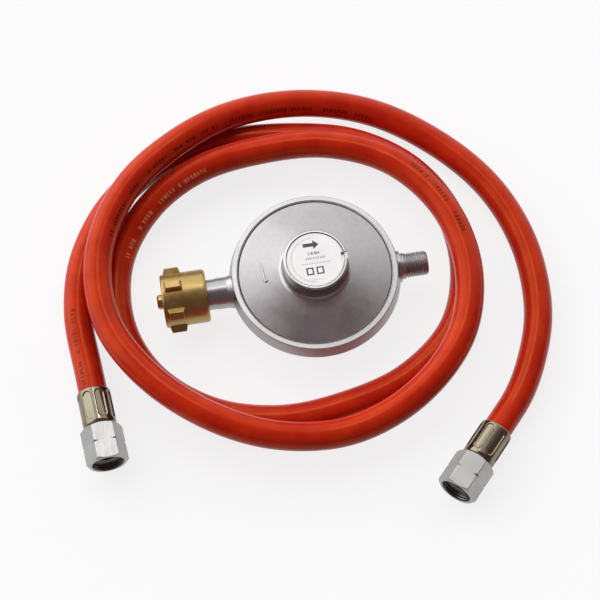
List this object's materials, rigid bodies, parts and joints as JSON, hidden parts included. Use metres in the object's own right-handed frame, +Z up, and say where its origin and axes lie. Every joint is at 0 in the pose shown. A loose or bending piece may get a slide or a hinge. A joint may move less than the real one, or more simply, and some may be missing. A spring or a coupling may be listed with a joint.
{
  "type": "gas regulator with hose",
  "caption": "Low pressure gas regulator with a round lid, a lugged inlet nut and a threaded outlet, and a loose red hose in open loops with a swivel nut on each end.",
  "frame": {"origin": "centre of the regulator's flat base, on the surface that it stands on, under the axis of the lid", "axes": "+Z up through the lid; +X along the gas flow, from the inlet nut to the outlet; the hose lies on the same surface as the base"},
  "size_m": [0.2574, 0.2437, 0.0445],
  "materials": {
    "zinc_casting": "satin cast",
    "zinc_lid": "satin cast",
    "zinc_dark": "satin",
    "cap_plastic": "satin",
    "label_white": "matt",
    "brass": "turned",
    "yellow_brass": "yellow passivated",
    "bronze_filter": "sintered",
    "spring_steel": "drawn",
    "plated_steel": "zinc plated",
    "plated_ferrule": "bright",
    "nickel_nut": "bright",
    "black_rubber": "matt",
    "hose_rubber": "satin, orange red"
  },
  "bodies": {
    "regulator": {"body_casting": "zinc_casting", "lid": "zinc_lid", "label_cap": "cap_plastic", "label": "label_white", "adjusting_ring": "brass", "main_spring": "spring_steel", "diaphragm": "black_rubber", "lever_pin": "plated_steel", "jet": "brass", "inlet_filter": "bronze_filter", "inlet_nose": "brass", "inlet_seal": "black_rubber", "outlet_spigot": "zinc_dark"},
    "inlet_nut": {"inlet_nut": "yellow_brass"},
    "diaphragm_assembly": {"diaphragm_plate": "plated_steel", "spring_cup": "plated_steel", "stud_nut": "plated_steel", "diaphragm_stud": "brass"},
    "lever": {"lever": "plated_steel"},
    "plunger": {"plunger": "brass", "seat_pad": "black_rubber"},
    "hose": {"hose": "hose_rubber", "ferrule_a": "plated_ferrule", "ferrule_b": "plated_ferrule", "nipple_a": "plated_steel", "nipple_b": "plated_steel"},
    "hose_nut_a": {"hose_nut_a": "nickel_nut"},
    "hose_nut_b": {"hose_nut_b": "nickel_nut"}
  },
  "joints": [
    {"name": "inlet_nut_spin", "type": "hinge", "parent": "regulator", "child": "inlet_nut", "pos_m": [-0.07, 0, 0.018], "axis": [-1, 0, 0], "continuous": true},
    {"name": "diaphragm_lift", "type": "slide", "parent": "regulator", "child": "diaphragm_assembly", "axis": [0, 0, 1], "range_m": [0, 0.0022], "stiffness_N_per_m": 2000, "springref_m": -0.009, "deforming": ["main_spring", "diaphragm"]},
    {"name": "lever_turn", "type": "hinge", "parent": "regulator", "child": "lever", "pos_m": [-0.016, 0, 0.0095], "axis": [0, -1, 0], "range_deg": [0, 7.9]},
    {"name": "plunger_slide", "type": "slide", "parent": "regulator", "child": "plunger", "axis": [-1, 0, 0], "range_m": [0, 0.00117]},
    {"name": "hose_lift", "type": "slide", "parent": "regulator", "child": "hose", "axis": [0, 0, 1], "range_m": [0, 0.06]},
    {"name": "hose_nut_a_spin", "type": "hinge", "parent": "hose", "child": "hose_nut_a", "pos_m": [-0.1204, -0.07077, 0.01146], "axis": [0.0868, -0.9924, 0.0872], "continuous": true},
    {"name": "hose_nut_b_spin", "type": "hinge", "parent": "hose", "child": "hose_nut_b", "pos_m": [0.05862, -0.11586, 0.01146], "axis": [-0.6794, -0.7286, 0.0872], "continuous": true}
  ],
  "couplings": [
    {"joint": "lever_turn", "follows": "diaphragm_lift", "rad_per_m": 62.5},
    {"joint": "plunger_slide", "follows": "diaphragm_lift", "ratio": 0.53125}
  ]
}
